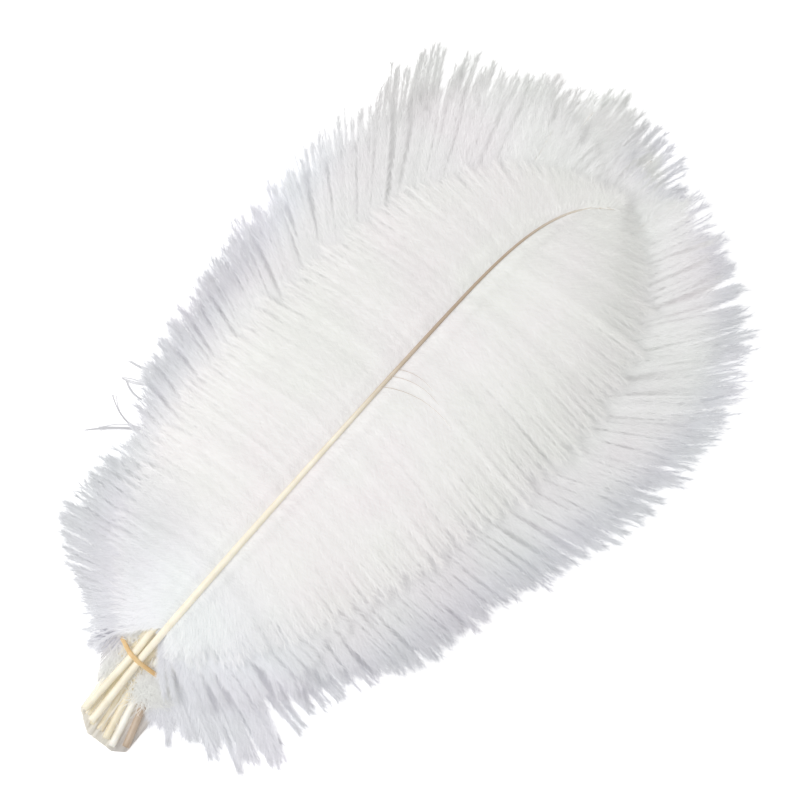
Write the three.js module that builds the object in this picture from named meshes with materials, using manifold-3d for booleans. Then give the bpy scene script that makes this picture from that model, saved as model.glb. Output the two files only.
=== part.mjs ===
// A trade bundle of eight white ostrich plumes, laid flat on top of each other and held near the
// quill ends by one rubber band. Millimetres. X runs along the bundle from the quill ends to the
// plume tips, Y across it and Z up. The sizes below are measured from the band, and the whole
// bundle is moved at the end so that its origin is the middle of the underside of its box.
import * as THREE from "three";
import { mergeVertices } from "three/addons/utils/BufferGeometryUtils.js";
import Module from "manifold-3d";

const wasm = await Module();
wasm.setup();

// The pile: the vanes lie in layers, far apart over the middle and close together at the rim.
const LAYER_STEP = 6.2; // between the mid surfaces of two vanes, over the middle of the pile
const LOWEST_LAYER = 1.3; // height of the lowest vane's mid surface
const RIM_SHARE = 0.36; // what is left of the layers' height at the rim of the pile
const PILE_HALF_WIDTH = 180;
const PILE_NECK_HALF_WIDTH = 110; // at the band
const PILE_NECK_LENGTH = 220; // from the band to where the pile has its full width
const PILE_FALL_FROM = 300; // the pile's top falls towards the plume tips from here
const PILE_FALL_LENGTH = 240;
const VANE_THICKNESS = 2.5; // over the middle of the pile
const VANE_RIM_THICKNESS = 0.9;

// The shafts, as radius at a distance from the band.
const SHAFT_RADIUS = [
  [-70, 2.75],
  [30, 2.75],
  [120, 2.4],
  [280, 1.45],
  [380, 0.95],
  [560, 0.5],
];
const SHAFT_SIDES = 8;
const SHAFT_STATIONS = 20;
const SHAFT_ABOVE_VANE = 0.3; // in shaft radii, from the vane's mid surface to the shaft's axis

// The quills pass through the band in two rows.
const ROW_HEIGHT = [4.4, 10.6];
const ROW_END_HEIGHT = [3.1, 10.2];

// The rubber band, a flat loop round all the quills, that leans back to the quill ends at its top.
const BAND_WIDTH = 3;
const BAND_THICKNESS = 1.2;
const BAND_GAP = 0.45; // to the quills, above and below
const BAND_SIDE_GAP = 1.8; // to the outermost quills, which pass through it at a slant
const BAND_LEAN = 0.36; // towards the quill ends, for each millimetre of height

// A vane's outline along one side of its shaft: how far along the vane, from its foot to the end
// of the shaft, how far out, as a share of its half-width, and which point of the shaft the barbs
// that end there grow from, also from foot to end.
const SIDE_OUTLINE = [
  [-0.08, 0.24, 0.0],
  [-0.05, 0.56, 0.02],
  [0.04, 0.86, 0.09],
  [0.25, 1.0, 0.28],
  [0.5, 1.04, 0.53],
  [0.72, 1.0, 0.73],
  [0.88, 0.78, 0.84],
  [0.98, 0.4, 0.93],
];
const TIP_OUTLINE = [1.03, 0.0, 1.0];

// Each plume, from the lowest: its row and y at the band, the quill's cut end, the angle at which
// the shaft fans out, the hook of its end in degrees, its length past the band, the foot of its
// vane, its half-widths to the left and right, and how far its shaft takes to reach its layer.
const PLUMES = [
  { row: 0, y: 2.5, end: [-60, -17.3], fan: 0.5, hook: 6,
    length: 515, foot: 12, left: 104, right: 138, rise: 115 },
  { row: 0, y: -16.1, end: [-55, -39.1], fan: -9, hook: 24,
    length: 500, foot: 88, left: 112, right: 113, rise: 113 },
  { row: 0, y: 14.9, end: [-58, -3.5], fan: 10.5, hook: -14,
    length: 504, foot: 74, left: 112, right: 118, rise: 111 },
  { row: 0, y: -9.9, end: [-62, -31.6], fan: -7, hook: 20,
    length: 516, foot: 68, left: 122, right: 124, rise: 108 },
  { row: 0, y: 8.7, end: [-61, -10.4], fan: 6.5, hook: -6,
    length: 510, foot: 65, left: 128, right: 120, rise: 105 },
  { row: 0, y: -3.7, end: [-61, -24.4], fan: -3, hook: 18,
    length: 514, foot: 66, left: 124, right: 134, rise: 103 },
  { row: 1, y: 5.6, end: [-56.5, 1.6], fan: 8, hook: -20,
    length: 488, foot: 20, left: 116, right: 112, rise: 95 },
  { row: 1, y: -0.6, end: [-58.9, -8.2], fan: 5.2, hook: 58,
    length: 478, foot: 26, left: 118, right: 122, rise: 75 },
];
const VANE_STATIONS = 20; // one lock ends at each, on both sides of the shaft
const VANE_COLUMNS = [0.36, 0.7]; // shares of a barb's length between the shaft and the rim
const NOTCH_SHARE = 0.89; // of a barb's length, between two locks
const BARB_ANGLE = 70; // degrees from the shaft, where the barbs leave it

const FEATHER_WHITE = 0xf1efee;
const RUBBER_TAN = 0xd9ad6a;

const clamp = (value) => Math.min(1, Math.max(0, value));
const mix = (a, b, share) => a + (b - a) * share;
const radians = THREE.MathUtils.degToRad;

// The value at x of a line through [x, value] points.
function along(points, x) {
  const next = points.findIndex((point) => point[0] > x);
  if (next === 0) return points[0][1];
  if (next < 0) return points[points.length - 1][1];
  const [from, to] = [points[next - 1], points[next]];
  return mix(from[1], to[1], (x - from[0]) / (to[0] - from[0]));
}

// How much of the pile's full height is left above a point: 1 in the middle, RIM_SHARE at the rim.
function pileShare(x, y) {
  const halfWidth = mix(PILE_NECK_HALF_WIDTH, PILE_HALF_WIDTH, clamp(x / PILE_NECK_LENGTH));
  const outward = (y / halfWidth) ** 2;
  const forward = clamp((x - PILE_FALL_FROM) / PILE_FALL_LENGTH) ** 2;
  return 1 - (1 - RIM_SHARE) * clamp(outward + forward);
}

const middleShare = (x, y) => (pileShare(x, y) - RIM_SHARE) / (1 - RIM_SHARE);

function vaneThickness(x, y) {
  const thick = middleShare(x, y) * clamp(x / 120);
  return mix(VANE_RIM_THICKNESS, VANE_THICKNESS, thick);
}

// The mid surface of a plume's vane. It climbs from the plume's place in the band to its layer.
function layerHeight(layer, plume, x, y) {
  if (layer === 0) return vaneThickness(x, y) / 2;
  const full = LOWEST_LAYER + layer * LAYER_STEP;
  const atBand = ROW_HEIGHT[plume.row] - SHAFT_ABOVE_VANE * along(SHAFT_RADIUS, 0);
  const climbed = 1 - (1 - clamp(x / plume.rise)) ** 1.5;
  const overMiddle = mix(atBand, full, climbed);
  return LOWEST_LAYER + (overMiddle - LOWEST_LAYER) * pileShare(x, y);
}

// The plan of a plume's shaft past the band: nearly straight, then hooked over its last part.
function shaftPlan(plume) {
  const straight = 0.6;
  const steps = 24;
  const points = [new THREE.Vector3(0, plume.y, 0)];
  const point = points[0].clone();
  for (let i = 0; i < steps; i++) {
    const share = (i + 0.5) / steps;
    const bent = clamp((share - straight) / (1 - straight)) ** 4 * plume.hook;
    const angle = radians(plume.fan * (1 - 0.5 * share) - bent);
    point.x += (plume.length / steps) * Math.cos(angle);
    point.y += (plume.length / steps) * Math.sin(angle);
    points.push(point.clone());
  }
  return new THREE.CatmullRomCurve3(points);
}

// The shaft's axis from the cut end of the quill to its tip.
function shaftAxis(layer, plume, plan) {
  const [endX, endY] = plume.end;
  const axis = [];
  const quillSteps = 4;
  for (let i = 0; i < quillSteps; i++) {
    const share = i / quillSteps;
    const height = mix(ROW_END_HEIGHT[plume.row], ROW_HEIGHT[plume.row], share);
    axis.push(new THREE.Vector3(mix(endX, 0, share), mix(endY, plume.y, share), height));
  }
  for (let i = 0; i <= SHAFT_STATIONS; i++) {
    const share = (i / SHAFT_STATIONS) ** 1.15;
    const point = plan.getPointAt(share);
    const radius = along(SHAFT_RADIUS, point.x);
    const overVane = layerHeight(layer, plume, point.x, point.y) + SHAFT_ABOVE_VANE * radius;
    const resting = mix(ROW_HEIGHT[0], radius + 0.1, clamp(point.x / 20));
    point.z = layer === 0 ? Math.max(overVane, resting) : overVane;
    axis.push(point);
  }
  return axis;
}

// A closed, tapering rod round the axis.
function rod(axis, radiusAt, sides) {
  const positions = [];
  const index = [];
  const side = new THREE.Vector3();
  const up = new THREE.Vector3();
  axis.forEach((point, i) => {
    const ahead = axis[Math.min(i + 1, axis.length - 1)];
    const behind = axis[Math.max(i - 1, 0)];
    const forward = ahead.clone().sub(behind).normalize();
    side.crossVectors(new THREE.Vector3(0, 0, 1), forward).normalize();
    up.crossVectors(forward, side);
    const radius = radiusAt(point.x);
    for (let k = 0; k < sides; k++) {
      const turn = (2 * Math.PI * (k + 0.5)) / sides;
      const corner = point.clone().addScaledVector(side, radius * Math.cos(turn));
      positions.push(...corner.addScaledVector(up, radius * Math.sin(turn)));
    }
  });
  for (let i = 0; i < axis.length - 1; i++) {
    for (let k = 0; k < sides; k++) {
      const [a, b] = [i * sides + k, i * sides + ((k + 1) % sides)];
      index.push(a, b, a + sides, b, b + sides, a + sides);
    }
  }
  const last = (axis.length - 1) * sides;
  for (let k = 1; k < sides - 1; k++) {
    index.push(0, k + 1, k, last, last + k, last + k + 1);
  }
  return closedGeometry(positions, index);
}

function closedGeometry(positions, index) {
  const geometry = new THREE.BufferGeometry();
  geometry.setAttribute("position", new THREE.Float32BufferAttribute(positions, 3));
  geometry.setIndex(index);
  return geometry;
}

// The outline of one side of a vane, as a curve of [x, y, root], round to the vane's tip.
function sideOutline(plume, plan, side) {
  const halfWidth = side > 0 ? plume.left : plume.right;
  const footShare = plume.foot / plume.length;
  const tip = plan.getPointAt(1);
  const foot = plan.getPointAt(footShare);
  const length = Math.hypot(tip.x - foot.x, tip.y - foot.y);
  const heading = Math.atan2(tip.y - foot.y, tip.x - foot.x);
  const place = ([forward, out, root]) => {
    const [f, o] = [forward * length, side * out * halfWidth];
    return new THREE.Vector3(
      foot.x + f * Math.cos(heading) - o * Math.sin(heading),
      foot.y + f * Math.sin(heading) + o * Math.cos(heading),
      root * 1000,
    );
  };
  return new THREE.CatmullRomCurve3([...SIDE_OUTLINE, TIP_OUTLINE].map(place));
}

// Points of the barb that ends at a share of one side's outline, at shares of its own length.
function barbPoints(plume, plan, outline, side, outlineShare, barbShares) {
  const footShare = plume.foot / plume.length;
  const end = outline.getPointAt(outlineShare);
  const rootShare = mix(footShare, 1, clamp(end.z / 1000));
  const root = plan.getPointAt(rootShare);
  const heading = plan.getTangentAt(rootShare);
  const leave = mix(BARB_ANGLE, 4, clamp((rootShare - 0.8) / 0.2) ** 1.5) * side;
  const angle = Math.atan2(heading.y, heading.x) + radians(leave);
  const reach = 0.45 * Math.hypot(end.x - root.x, end.y - root.y);
  const bend = [root.x + reach * Math.cos(angle), root.y + reach * Math.sin(angle)];
  return barbShares.map((t) => [
    (1 - t) ** 2 * root.x + 2 * t * (1 - t) * bend[0] + t * t * end.x,
    (1 - t) ** 2 * root.y + 2 * t * (1 - t) * bend[1] + t * t * end.y,
  ]);
}

// The vane as one closed sheet: lines of points run out to both sides like the barbs do, and the
// rim is cut into locks.
function vane(layer, plume, plan) {
  const positions = [];
  const index = [];
  const addPoint = ([x, y], height) => positions.push(x, y, height) / 3 - 1;
  const rimHeight = ([x, y]) => (layer === 0 ? 0 : layerHeight(layer, plume, x, y));
  const addPair = ([x, y], closed) => {
    if (closed) {
      const only = addPoint([x, y], rimHeight([x, y]));
      return { top: only, bottom: only };
    }
    const half = vaneThickness(x, y) / 2;
    const middle = layerHeight(layer, plume, x, y);
    return { top: addPoint([x, y], middle + half), bottom: addPoint([x, y], middle - half) };
  };
  const triangle = (a, b, c, side) => {
    const faces = side > 0 ? [a, b, c] : [a, c, b];
    const upper = faces.map((pair) => pair.top);
    const lower = faces.map((pair) => pair.bottom).reverse();
    index.push(...upper, ...lower);
  };
  const roots = [];
  const sharedTip = [];
  for (const side of [1, -1]) {
    const outline = sideOutline(plume, plan, side);
    const lines = [];
    for (let i = 0; i <= VANE_STATIONS; i++) {
      const share = i / VANE_STATIONS;
      const closed = i === 0;
      const points = barbPoints(plume, plan, outline, side, share, [0, ...VANE_COLUMNS, 1]);
      roots[i] ??= addPair(points[0], closed);
      if (i === VANE_STATIONS && side < 0) {
        lines.push(sharedTip);
        continue;
      }
      const inner = points.slice(1, -1).map((point) => addPair(point, closed));
      const line = [roots[i], ...inner, addPair(points.at(-1), true)];
      if (i === VANE_STATIONS) sharedTip.push(...line);
      lines.push(line);
    }
    for (let i = 0; i < VANE_STATIONS; i++) {
      const [here, next] = [lines[i], lines[i + 1]];
      const outer = here.length - 2;
      for (let c = 0; c < outer; c++) {
        triangle(here[c], next[c], next[c + 1], side);
        triangle(here[c], next[c + 1], here[c + 1], side);
      }
      const between = (i + 0.5) / VANE_STATIONS;
      const [notchPoint] = barbPoints(plume, plan, outline, side, between, [NOTCH_SHARE]);
      const notch = addPair(notchPoint, true);
      triangle(here[outer], notch, here[outer + 1], side);
      triangle(here[outer], next[outer], notch, side);
      triangle(next[outer], next[outer + 1], notch, side);
    }
  }
  return closedGeometry(positions, index);
}

function solidOf(geometry) {
  const only = geometry.clone();
  only.deleteAttribute("normal");
  only.deleteAttribute("uv");
  const merged = mergeVertices(only, 1e-3);
  const vertProperties = merged.attributes.position.array;
  const triVerts = new Uint32Array(merged.index.array);
  return new wasm.Manifold(new wasm.Mesh({ numProp: 3, vertProperties, triVerts }));
}

function geometryOf(solid) {
  const { vertProperties, triVerts } = solid.getMesh();
  const geometry = closedGeometry(Array.from(vertProperties), Array.from(triVerts));
  geometry.computeVertexNormals();
  return geometry;
}

function feather(layer, plume) {
  const plan = shaftPlan(plume);
  const shaft = rod(shaftAxis(layer, plume, plan), (x) => along(SHAFT_RADIUS, x), SHAFT_SIDES);
  const grown = solidOf(shaft).add(solidOf(vane(layer, plume, plan)));
  const mesh = new THREE.Mesh(
    geometryOf(grown),
    new THREE.MeshStandardMaterial({ color: FEATHER_WHITE, roughness: 0.85, side: THREE.DoubleSide }),
  );
  mesh.name = `feather_${layer + 1}`;
  return mesh;
}

// The smallest convex loop, as [y, z] corners, round all the quills where they pass the band.
function loopRound(quills, halfWide, halfHigh) {
  const corners = [];
  for (const { row, y } of quills) {
    for (let k = 0; k < 12; k++) {
      const turn = (2 * Math.PI * k) / 12;
      corners.push([y + halfWide * Math.cos(turn), ROW_HEIGHT[row] + halfHigh * Math.sin(turn)]);
    }
  }
  corners.sort((a, b) => a[0] - b[0] || a[1] - b[1]);
  const turns = (a, b, c) => (b[0] - a[0]) * (c[1] - a[1]) - (b[1] - a[1]) * (c[0] - a[0]);
  const half = (points) => {
    const kept = [];
    for (const point of points) {
      while (kept.length > 1 && turns(kept.at(-2), kept.at(-1), point) < 1e-6) kept.pop();
      kept.push(point);
    }
    return kept.slice(0, -1);
  };
  return [...half(corners), ...half([...corners].reverse())];
}

function rubberBand() {
  const quillRadius = along(SHAFT_RADIUS, 0);
  const inner = loopRound(PLUMES, quillRadius + BAND_SIDE_GAP, quillRadius + BAND_GAP);
  const positions = [];
  const index = [];
  const floor = ROW_HEIGHT[0] - quillRadius - BAND_GAP - BAND_THICKNESS;
  inner.forEach(([y, z], i) => {
    const before = inner.at(i - 1);
    const after = inner[(i + 1) % inner.length];
    const length = Math.hypot(after[0] - before[0], after[1] - before[1]);
    const out = [(after[1] - before[1]) / length, -(after[0] - before[0]) / length];
    const lean = -BAND_LEAN * (z - floor);
    for (const [thick, wide] of [[0, -0.5], [1, -0.5], [1, 0.5], [0, 0.5]]) {
      positions.push(
        lean + wide * BAND_WIDTH,
        y + out[0] * thick * BAND_THICKNESS,
        Math.max(0, z - floor + out[1] * thick * BAND_THICKNESS),
      );
    }
  });
  for (let i = 0; i < inner.length; i++) {
    const next = (i + 1) % inner.length;
    for (let k = 0; k < 4; k++) {
      const [a, b] = [i * 4 + k, i * 4 + ((k + 1) % 4)];
      const [c, d] = [next * 4 + k, next * 4 + ((k + 1) % 4)];
      index.push(a, c, b, b, c, d);
    }
  }
  const mesh = new THREE.Mesh(
    closedGeometry(positions, index),
    new THREE.MeshStandardMaterial({ color: RUBBER_TAN, roughness: 0.55 }),
  );
  mesh.name = "rubber_band";
  return mesh;
}

const bundle = new THREE.Group();
PLUMES.forEach((plume, layer) => bundle.add(feather(layer, plume)));
bundle.add(rubberBand());

const box = new THREE.Box3().setFromObject(bundle);
const centre = box.getCenter(new THREE.Vector3());
bundle.position.set(-centre.x, -centre.y, -box.min.z);

export default bundle;
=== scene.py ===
import math

import bpy
import numpy as np
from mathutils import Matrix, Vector
from mathutils.bvhtree import BVHTree


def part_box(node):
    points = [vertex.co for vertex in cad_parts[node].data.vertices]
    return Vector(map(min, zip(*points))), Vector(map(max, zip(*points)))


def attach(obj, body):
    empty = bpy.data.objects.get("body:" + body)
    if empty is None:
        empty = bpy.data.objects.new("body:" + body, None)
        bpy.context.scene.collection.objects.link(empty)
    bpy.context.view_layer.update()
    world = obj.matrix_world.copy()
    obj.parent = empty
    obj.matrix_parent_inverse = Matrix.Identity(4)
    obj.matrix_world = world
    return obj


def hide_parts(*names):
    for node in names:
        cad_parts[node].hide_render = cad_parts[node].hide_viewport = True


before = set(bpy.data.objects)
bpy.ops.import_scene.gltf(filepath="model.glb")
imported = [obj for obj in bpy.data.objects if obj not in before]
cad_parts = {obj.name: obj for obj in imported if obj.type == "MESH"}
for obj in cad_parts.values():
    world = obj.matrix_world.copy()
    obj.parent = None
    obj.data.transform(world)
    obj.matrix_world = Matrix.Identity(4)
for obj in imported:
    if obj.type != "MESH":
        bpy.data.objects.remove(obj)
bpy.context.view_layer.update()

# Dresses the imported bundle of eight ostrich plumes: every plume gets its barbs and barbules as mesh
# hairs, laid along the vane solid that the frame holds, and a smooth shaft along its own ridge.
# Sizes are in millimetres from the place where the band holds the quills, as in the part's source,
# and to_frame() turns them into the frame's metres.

MM = 0.001

# ---------------- named values

# The bundle's plan, as the part's source has it.
BAND_WIDTH = 3.0
BAND_MIDDLE_Y = -0.6
# One side of a vane: shares of its length and of its half width, and the share of the vane where
# the barbs that end there are rooted.
SIDE_OUTLINE = [
    (-0.08, 0.24, 0.0),
    (-0.05, 0.56, 0.02),
    (0.04, 0.86, 0.09),
    (0.25, 1.0, 0.28),
    (0.5, 1.04, 0.53),
    (0.72, 1.0, 0.73),
    (0.88, 0.78, 0.84),
    (0.98, 0.4, 0.93),
    (1.03, 0.0, 1.0),
]
# From the lowest plume up: y of the quill in the band, the quill's cut end, degrees that the shaft
# fans out and that its tip hooks over, its length past the band, where along it the vane begins,
# and the vane's half widths.
PLUMES = [
    dict(y=2.5, end=(-60, -17.3), fan=0.5, hook=6, length=515, foot=12, left=104, right=138),
    dict(y=-16.1, end=(-55, -39.1), fan=-9, hook=24, length=500, foot=88, left=112, right=113),
    dict(y=14.9, end=(-58, -3.5), fan=10.5, hook=-14, length=504, foot=74, left=112, right=118),
    dict(y=-9.9, end=(-62, -31.6), fan=-7, hook=20, length=516, foot=68, left=122, right=124),
    dict(y=8.7, end=(-61, -10.4), fan=6.5, hook=-6, length=510, foot=65, left=128, right=120),
    dict(y=-3.7, end=(-61, -24.4), fan=-3, hook=18, length=514, foot=66, left=124, right=134),
    dict(y=5.6, end=(-56.5, 1.6), fan=8, hook=-20, length=488, foot=20, left=116, right=112),
    dict(y=-0.6, end=(-58.9, -8.2), fan=5.2, hook=58, length=478, foot=26, left=118, right=122),
]
TOP = len(PLUMES)
SHAFT_RADIUS_X = [-70, 30, 120, 280, 380, 560]
SHAFT_RADIUS = [2.75, 2.75, 2.4, 1.45, 0.95, 0.5]
SHAFT_FLAT_SHARE = math.cos(math.pi / 8)  # the solid's shaft has eight sides and a flat top

# How the solids' layers are read.
VANE_MARGIN = 45.0  # a vane starts at most this far before its foot
HALF_THICKNESS = (0.2, 1.4)  # a layer's least and most
LAYER_BLUR = 4
PILE_BLUR = 50

# How the barbs grow. A pair is for the lower plumes and for the top one, and a side is 1 for the
# left and -1 for the right.
BARB_ANGLE = 66.0  # degrees from the shaft, where they leave it
TIP_BARB_ANGLE = 4.0  # the same at the shaft's tip
BARB_STATIONS = 10
STRAY_STATIONS = 9
BARB_HALF_WIDTH = 0.9
BARB_TAPER = 14.0  # a barb grows thin this far from its tip
BARB_SINK = 0.25  # the flat barbs lie this far under their barbules' feet
BARB_REACH = (0.975, 0.965)  # as a share of the way to the outline
BARB_SHORTFALL = (-0.045, -0.12)  # the most that a single barb changes that share by
BARB_EXCESS = 0.02
STRAND_RAGGED = 0.02  # how much strands differ in that share, and how much more at the right base
BASE_RAGGED = 2.5
RIM_WAVES = [(39, 0.01), (91, 0.008)]  # radians along the rim, and changes of that share
BARB_RISE = 0.6  # over the shaft's side
STRAND_DEPTH = (-0.15, 0.25)  # shares of the layer's half thickness
BARB_DEPTH = 0.12
BARB_DROOP = 1.8  # how far barbs sink towards their tips
TOP_RIGHT_DROOP = 4.0  # the same at the top plume's right
BASE_LOCK = 5  # barbs to a strand at the right base, where the strands are thick
BASE_PULL = 0.85  # how far a strand's barbs close up towards their tips there
LOCK_PULL = (0.2, 0.1)  # the same elsewhere
STRAND_SWING = (0.8, 0.25)  # degrees from their places
BARB_SWING = (0.5, 0.25)
BASE_SWING = 1.5  # how much more strands swing at the right base
STRAND_WAVER = 0.5
STRAND_CURL = (2.2, 0.8)
STRAND_TONE = 0.008  # how much lighter or darker strands and barbs are than their tint
BARBULE_TONE = 0.025
BARBULE_LENGTH = 9.0
BARBULE_HALF_WIDTH = 0.2
BARBULE_ANGLE = (26, 15)  # degrees from the barb, along the vane and at its rim
BARBULE_SWING = 7
LOWEST_BARB = 0.3  # heights over the surface
LOWEST_TIP = 0.15
# Most barbules under upper plumes are left out: how many in a grid's cell hide what lies under
# them, the cells along their rim that don't, and the share of hidden ones that is kept.
HIDING_COUNT = 60.0
HIDING_MARGIN = 2
HIDDEN_SHARE = 0.05
TRIES = 5  # for each barbule that is wanted

# Shares of the rim, and how far back along the shaft the barbs that end there are rooted, beyond
# the outline's own root shares, on the top plume's right side and on both sides of the others.
LEAN_SHARE = [0, 0.12, 0.4, 0.6, 0.75, 0.9, 1]
LEAN_TOP_RIGHT = [0, 0, 0.035, 0.045, 0.05, 0.05, 0.02]
LEAN_LOWER = [0, 0.02, 0.09, 0.17, 0.25, 0.22, 0.06]
# The top plume is narrow at its foot: shares of its rim and stretches of its barbs, left and right.
TOP_SHARE = [0, 0.1, 0.2, 0.3, 0.4, 0.55, 0.7, 0.85, 1]
TOP_STRETCH = {
    1: [0.7, 0.66, 0.82, 0.94, 1, 1, 1, 1, 1],
    -1: [0.45, 0.5, 0.6, 0.7, 0.8, 0.88, 0.92, 0.98, 1],
}
# Places where a rim stands out or falls back: plume, side, share of the rim, width, stretch.
SWELLS = [
    (1, 1, 0.05, 0.035, -0.28),
    (1, 1, 0.145, 0.03, 0.27),
    (1, 1, 0.935, 0.04, 0.25),
    (1, 1, 0.985, 0.02, 0.08),
    (1, -1, 0.09, 0.06, 0.09),
    (1, -1, 0.24, 0.03, -0.05),
    (1, -1, 0.985, 0.03, 0.1),
    (2, -1, 0.18, 0.06, -0.17),
    (2, -1, 0.4, 0.08, -0.1),
    (2, -1, 0.7, 0.06, -0.03),
    (3, 1, 0.23, 0.05, -0.22),
    (3, 1, 0.7, 0.06, -0.04),
    (3, 1, 0.81, 0.045, 0.09),
    (3, 1, 0.89, 0.03, 0.02),
    (3, 1, 0.97, 0.04, -0.16),
    (4, -1, 0.18, 0.06, -0.2),
    (4, -1, 0.4, 0.07, -0.11),
    (4, -1, 0.8, 0.1, 0.03),
    (4, -1, 1.0, 0.06, -0.15),
    (4, 1, 1.0, 0.12, -0.4),
    (5, 1, 0.22, 0.05, -0.22),
    (5, 1, 0.68, 0.08, -0.03),
    (5, -1, 0.97, 0.05, 0.14),
    (6, 1, 1.0, 0.06, -0.25),
    (6, -1, 0.18, 0.06, -0.19),
    (7, 1, 0.08, 0.05, -0.25),
    (7, 1, 0.19, 0.025, 0.05),
    (7, 1, 0.27, 0.045, -0.2),
]

# For each plume, from the lowest: barbs on each side, and barbules on each side at most.
BARB_COUNTS = [340, 320, 320, 320, 320, 340, 360, 520]
BARBULE_COUNTS = [40000, 34000, 34000, 36000, 36000, 40000, 48000, 125000]

# Stray wisps beyond the left rim of one plume: start x and y, end x and y, bow, height at the end.
WISP_PLUME = 3
WISPS = [
    (112, 119, 83, 146.1, -1, 3),
    (114, 118, 92, 140, -1, 3),
    (111, 121, 116, 150.3, 3.6, 3),
    (129, 133, 131.3, 149.5, 2, 3),
    (138, 140, 129.2, 155.6, -1, 3),
    (150, 142, 141, 160, 2, 3),
]
WISP_HALF_WIDTH = 0.7
WISP_HAIRS = 3  # to a wisp
# Tufts at the vanes' base, which go with one plume: root x, y and z, end x, y and z, spread there,
# strands.
TUFT_PLUME = 2
TUFTS = [
    (-9, -17, 6, -25, -36, 2, 3.5, 16),
    (0, -17, 6, -20, -48, 2, 4, 16),
    (6, -20, 6, -14, -66, 2, 5, 18),
    (14, -24, 6, -7, -81, 2, 7, 16),
    (28, -45, 5, 2, -106, 2, 3.5, 9),
    (38, -60, 5, 14, -124, 2, 3.5, 9),
    (4, 18, 5, -10, 25, 2, 3.5, 10),
]
TUFT_BARBS = 5  # to a strand
TUFT_BARBULES = 42  # to a barb
# Matted down under the quills: its fibres run from a line at the band to these ends, which are
# given as a share of that line, then x and y.
MAT_FIBRES = 150
MAT_START = ((26, -26), (22, 24))
MAT_ENDS = [
    (0, -31, -39),
    (0.1, -58, -42),
    (0.22, -65, -34),
    (0.6, -68, -12),
    (0.84, -59, 4),
    (0.9, -45, 2),
    (1, -17, 25),
]
MAT_HEIGHTS = (1.2, 7.0)
MAT_HALF_WIDTH = 0.7
# Down among the quills: x, y, height, reach along x and y, hairs, heading, and its spread. It is
# dark where y is above DARK_DOWN_Y.
DARK_DOWN_Y = 25
DOWN_HALF_WIDTH = 0.3
DOWN = [
    (-22, 9.5, 6.5, 17, 4.5, 420, 20, 25),
    (-14, -19, 7.5, 11, 11, 900, -60, 90),
    (-8, -27, 6.0, 9, 7, 500, -80, 40),
    (13, 15, 8.5, 12, 6, 500, 60, 50),
    (11, -15, 8.0, 12, 7, 500, -70, 50),
    (-36, -16, 3.0, 18, 9, 500, 15, 20),
    (-4, 29, 5.0, 8, 5, 60, 150, 40),
]
# Thin tan barbs where the vane parts, right of the shaft: start share, length, degrees from it.
TAN_BARBS = [(0.58, 30, 31), (0.566, 40, 32), (0.545, 58, 33)]
TAN_BARB_LIFT = 2.1
TAN_BARB_HALF_WIDTH = 0.22

# Looks: tints, and shares by which they are shaded or lightened.
WHITE = np.array([0.93, 0.926, 0.923])
INNER_GREY = np.array([0.91, 0.91, 0.912])
# BLUE_GREY and GREEN_GREY are painted shade: the lower plumes' white barbs are painted grey towards
# the pile's rim.
BLUE_GREY = np.array([0.853, 0.858, 0.881])
GREEN_GREY = np.array([0.872, 0.878, 0.872])
BASE_BLUE = np.array([0.985, 0.995, 1.012])
LIGHTEST = 0.97
# Painted shade on the top plume's right side, towards the far half of its rim and near its tip, and
# painted light over the rest of that side.
TOP_RIM_SHADE = 0.04
TOP_TIP_SHADE = 0.03
TOP_RIGHT_LIGHT = 0.012
# Painted shade on the barbs' tips, at the left of the vanes' base and on the far rim, and painted
# light inside the crown.
BARB_TIP_SHADE = 0.06
BASE_LEFT_SHADE = 0.065
FAR_RIM_SHADE = 0.03
CROWN_INNER_LIGHT = 0.02
# Ramps over x and ramps over y that tell where the lower plumes' rim is green-grey, and where the far
# rim's painted shade lies.
CROWN = ([(300, 420)], [(-150, -80)])
FAR_RIM = ([(430, 480)], [(40, 0)])
# More painted shade on that rim, and painted light where the amount is below 0, with such ramps.
RIM_SHADES = [
    (0.04, [(300, 220)], [(0, 80)]),  # left
    (-0.055, [(250, 300), (410, 360)], [(60, 120)]),  # further along the left
    (0.05, [(380, 420)], [(100, 150)]),  # left of the crown
    (-0.015, [(410, 450)], [(-140, -90)]),  # crown
    (0.04, [(90, 50)], [(40, 80)]),  # left base
    (0.035, [(90, 140), (270, 210)], [(-60, -100)]),  # right
]
# The rim's grey, which is painted shade, fades in from the blurred pile's high value to its low one,
# and wider at the right.
RIM_PILE = (0.72, 0.99)
RIGHT_RIM_WIDENING = 0.03
DOWN_TINT = np.array([0.86, 0.86, 0.85])
DARK_DOWN_TINT = np.array([0.55, 0.55, 0.6])
WISP_TINT = np.array([0.66, 0.66, 0.68])
# Grey-brown beside the dark quill, straw between the quills and grey at the bundle's left: shares of
# the mat's line at the band, and their tints. The straw is the mat's own colour painted lighter, as
# painted light in the shade between the quills.
MAT_TINTS = [
    (0.2, 0.76, 0.73, 0.70),
    (0.3, 0.95, 0.93, 0.87),
    (0.86, 0.95, 0.93, 0.87),
    (0.92, 0.79, 0.78, 0.79),
]
# Painted shade: the mat's fibres darken towards their ends, past the quills' cut ends.
MAT_END_SHADE = 0.2
TAN = np.array([0.64, 0.57, 0.5])
# Stand for the light that wanders between barbules too fine for the mesh, and inside the horn.
BARB_GLOW = 0.12
HORN_GLOW = 0.14
QUILL_TINTS = [
    (0.79, 0.72, 0.57),
    # The second quill's dark brown is painted shade, for the shade that it lies in.
    (0.50, 0.40, 0.31),
    (0.81, 0.75, 0.59),
    (0.84, 0.82, 0.76),
    (0.80, 0.74, 0.57),
    (0.80, 0.73, 0.57),
    (0.86, 0.81, 0.67),
    (0.87, 0.82, 0.69),
]
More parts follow.
